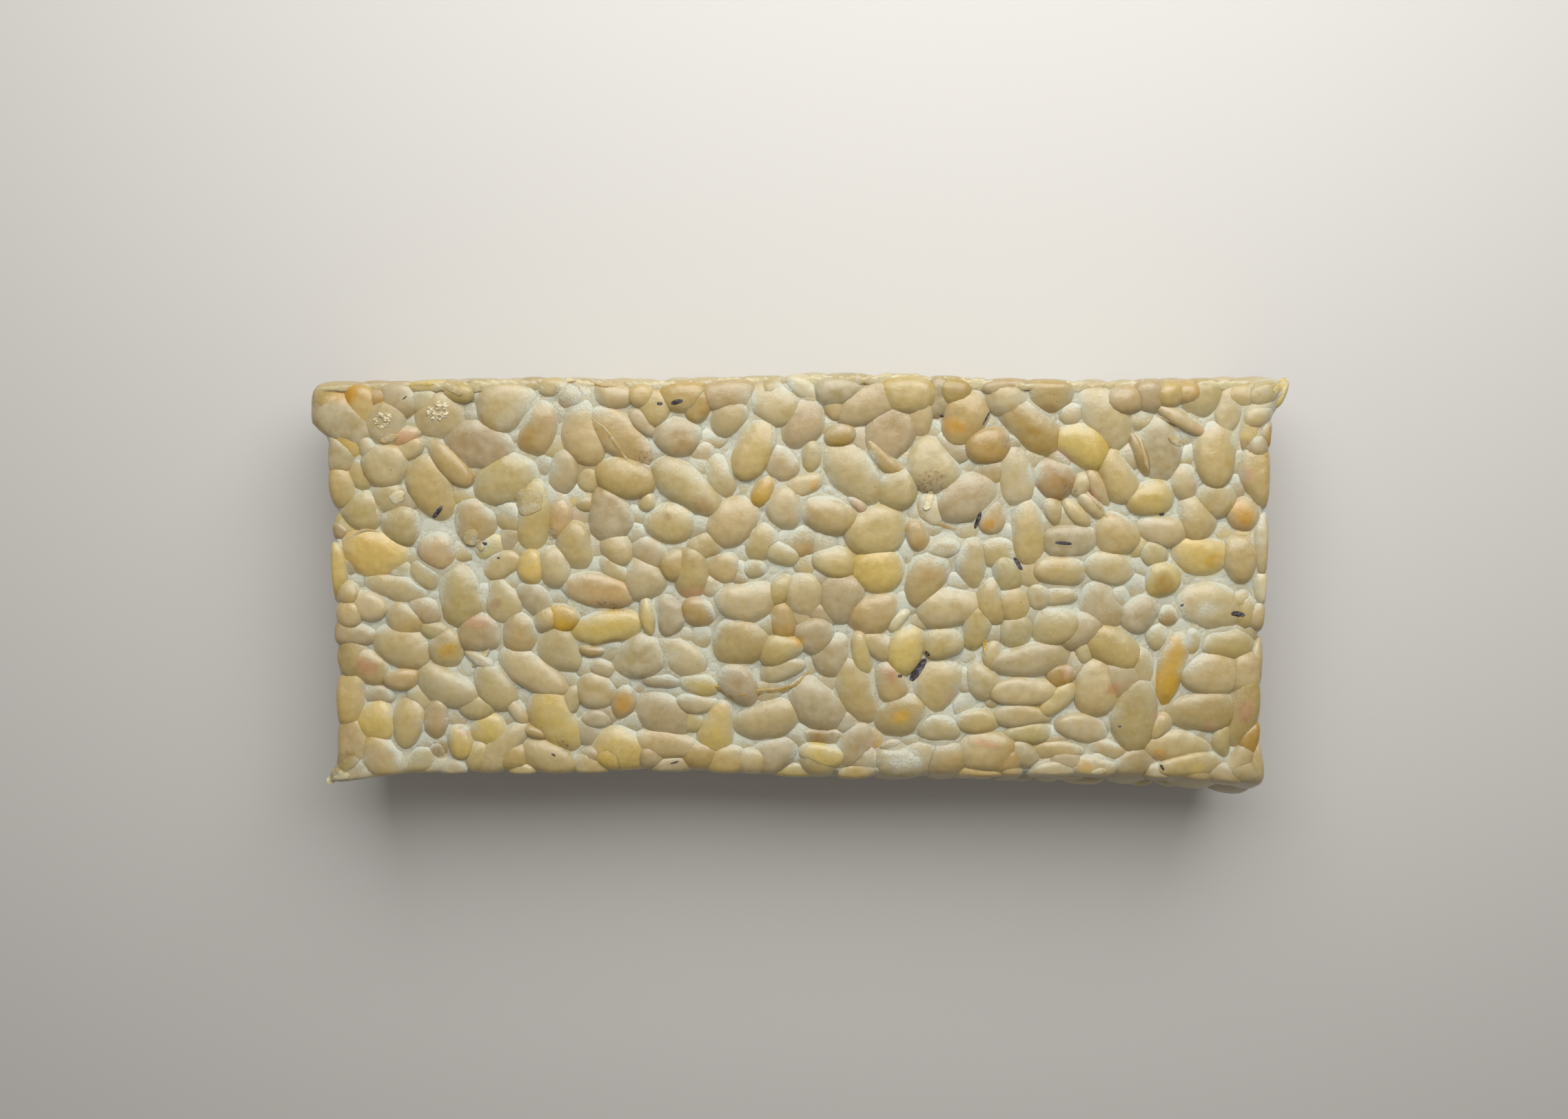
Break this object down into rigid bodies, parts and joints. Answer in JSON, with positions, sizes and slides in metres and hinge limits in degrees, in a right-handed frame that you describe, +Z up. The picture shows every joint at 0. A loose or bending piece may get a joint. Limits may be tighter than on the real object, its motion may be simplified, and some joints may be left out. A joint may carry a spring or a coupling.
{
  "type": "tempeh cake",
  "caption": "Whole rectangular cake of tempeh: cooked soybeans bound by white mycelium, lumpy all over, with small pinched ears at its corners, a front side that leans out and a flat underside.",
  "frame": {"origin": "under the middle of the cake, on the surface that it lies on", "axes": "+X along the cake, +Y towards its back long side, +Z up"},
  "size_m": [0.1776, 0.081, 0.0266],
  "materials": {
    "soybeans": "satin, pale cream to straw-coloured cooked beans",
    "mycelium": "matt white felt between and over the beans",
    "seed_coats": "thin, slightly shiny loose skins",
    "dark_marks": "matt dark scars of the beans"
  },
  "bodies": {
    "root": {"tempeh_cake": "soybeans"}
  },
  "joints": []
}
